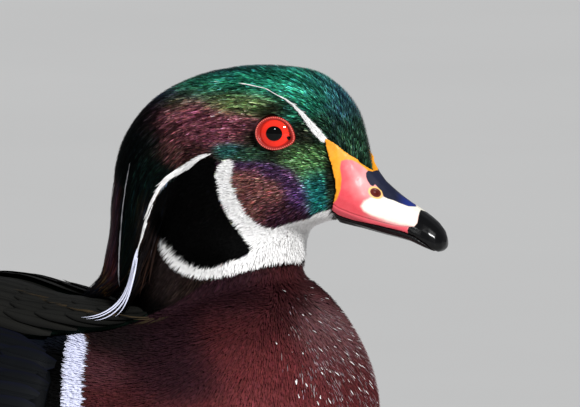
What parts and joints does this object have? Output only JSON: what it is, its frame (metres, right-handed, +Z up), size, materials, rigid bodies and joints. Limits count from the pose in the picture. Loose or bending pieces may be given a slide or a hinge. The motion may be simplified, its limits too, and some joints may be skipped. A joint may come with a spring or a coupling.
{
  "type": "wood duck",
  "caption": "Life-size still model of a drake wood duck standing with its neck drawn in and its crest laid back, for display.",
  "frame": {"origin": "on the floor under the middle of the bird's length and width", "axes": "+X towards the bill, +Y towards the bird's left side, +Z up"},
  "size_m": [0.3638, 0.1128, 0.2423],
  "materials": {
    "head": "sleek iridescent green feathers",
    "crest": "long silky green and purple-black feathers with two white lines",
    "neck": "short velvety black feathers with a white throat and collar",
    "breast": "glossy chestnut feathers with small white arrowheads",
    "belly": "soft white feathers",
    "rump": "dark glossed feathers",
    "bill": "smooth horn, red, white and yellow, with a black ridge and nail",
    "jaw": "smooth black horn",
    "eye": "wet red eye with a black pupil",
    "lid": "beaded red skin",
    "wing": "dark feathers with a blue gloss and silver edges",
    "scapular": "black feathers with a green and purple gloss",
    "flank": "buff feathers with fine dark waves and black and white tips",
    "tail": "stiff black feathers with a green gloss",
    "leg": "yellow-brown scaled skin and dark webs"
  },
  "bodies": {
    "root": {"head": "head", "neck": "neck", "crest": "crest", "breast": "breast", "torso": "belly", "rump": "rump", "bill_upper": "bill", "bill_lower": "jaw", "tail": "tail", "tail_coverts": "rump", "eye_right": "eye", "eyelid_right": "lid", "wing_right": "wing", "scapulars_right": "scapular", "flank_right": "flank", "thigh_right": "belly", "shank_right": "leg", "foot_right": "leg", "eye_left": "eye", "eyelid_left": "lid", "wing_left": "wing", "scapulars_left": "scapular", "flank_left": "flank", "thigh_left": "belly", "shank_left": "leg", "foot_left": "leg"}
  },
  "joints": []
}
